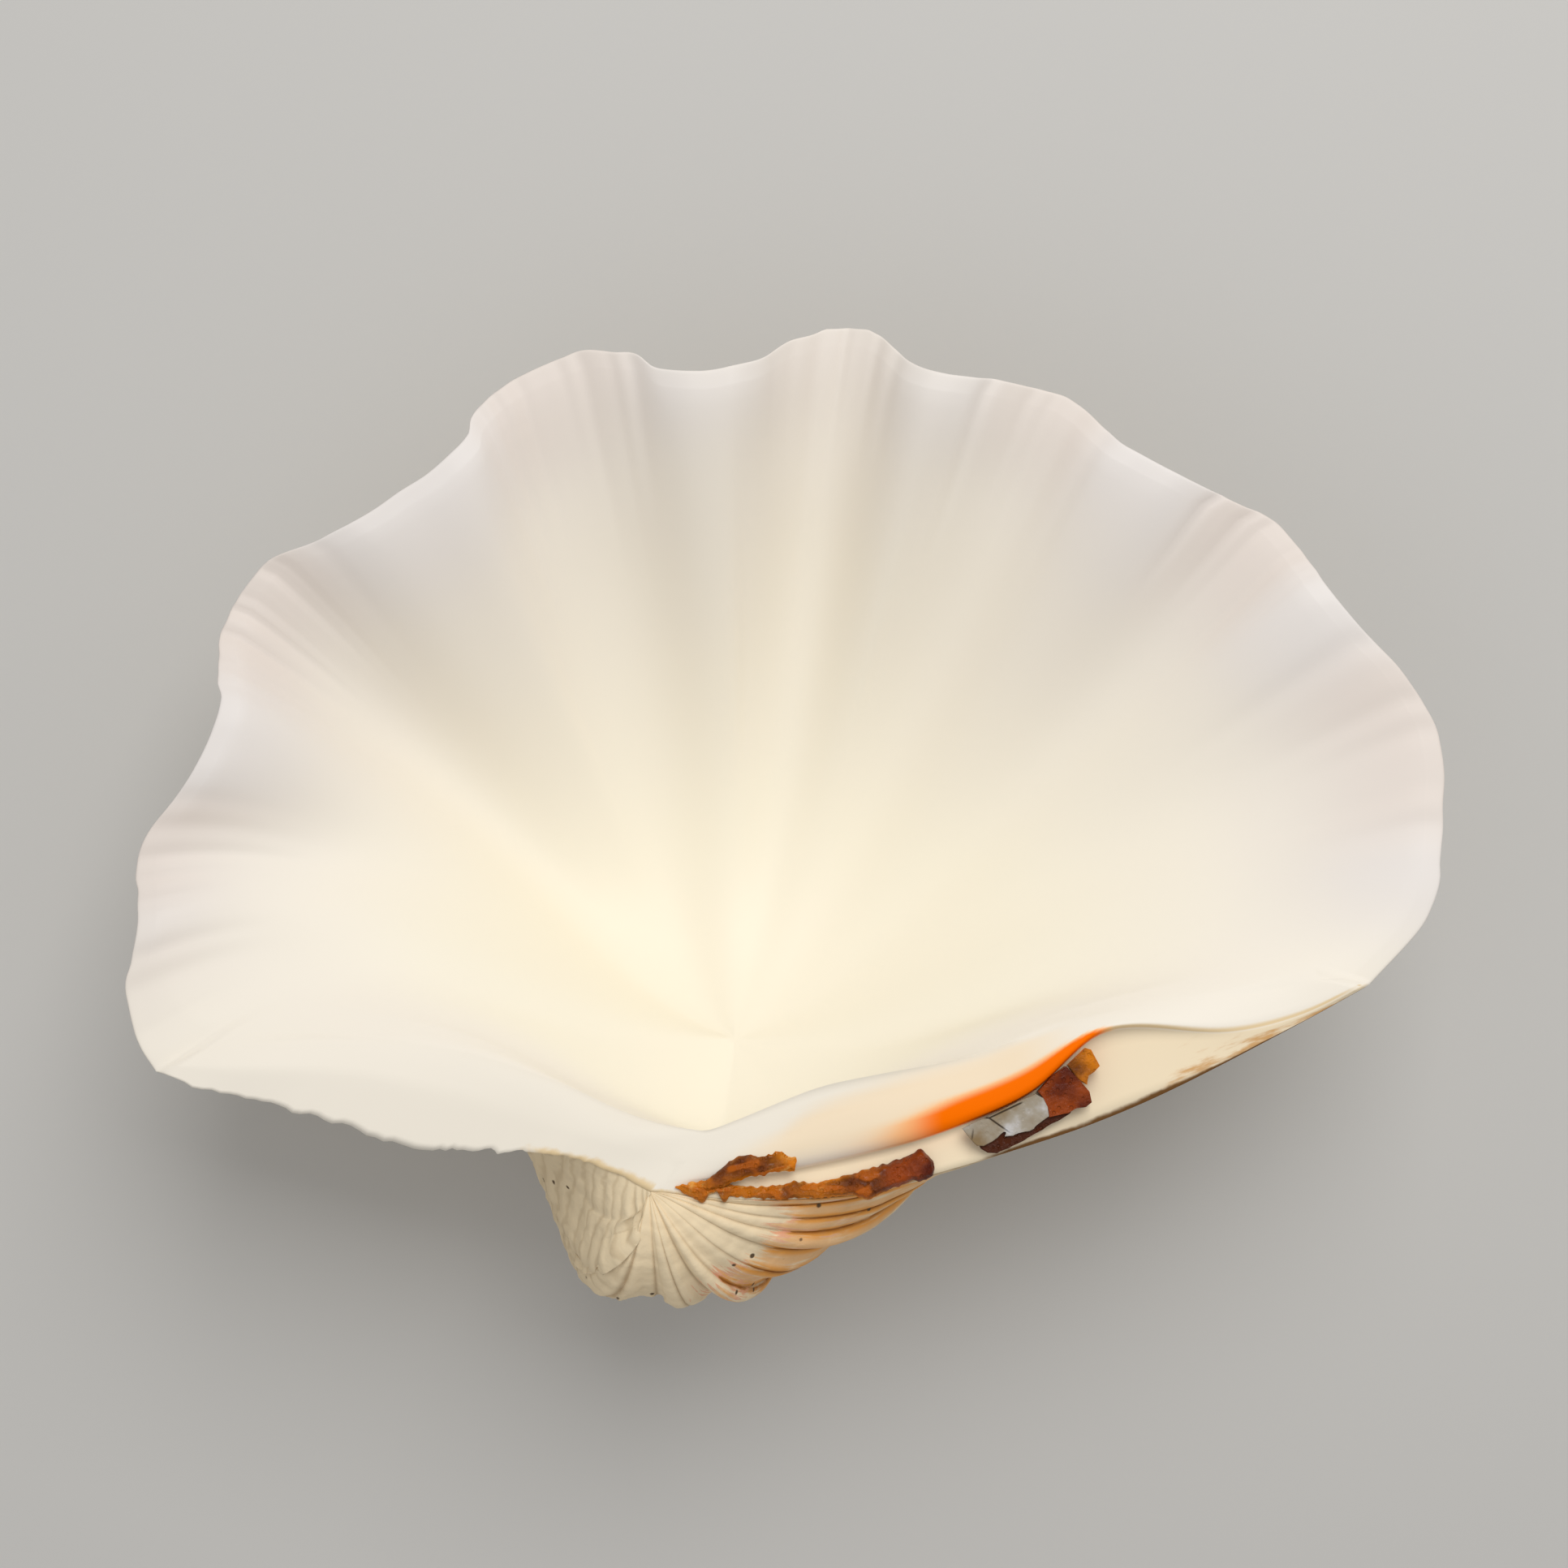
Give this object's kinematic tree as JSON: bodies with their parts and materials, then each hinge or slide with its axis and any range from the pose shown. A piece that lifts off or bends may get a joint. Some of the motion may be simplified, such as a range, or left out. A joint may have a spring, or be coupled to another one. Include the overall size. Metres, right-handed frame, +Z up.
{
  "type": "giant clam shell",
  "caption": "Single giant clam valve lying hollow side up, with a scalloped margin, ribbed outside, coiled beak and a hinge plate that keeps scraps of dried ligament.",
  "frame": {"origin": "on the ground under the middle of the shell's box", "axes": "+Z up out of the hollow, +X along the shell's length towards its longer end, +Y from the hinge towards the scalloped margin"},
  "size_m": [0.3244, 0.2496, 0.1041],
  "materials": {
    "shell": "satin porcelain inside, chalky and stained outside",
    "ligament": "dry, dark brown and flaking"
  },
  "bodies": {
    "root": {"shell_valve": "shell", "ligament_strip": "ligament", "ligament_block": "ligament", "ligament_flap": "ligament"}
  },
  "joints": []
}
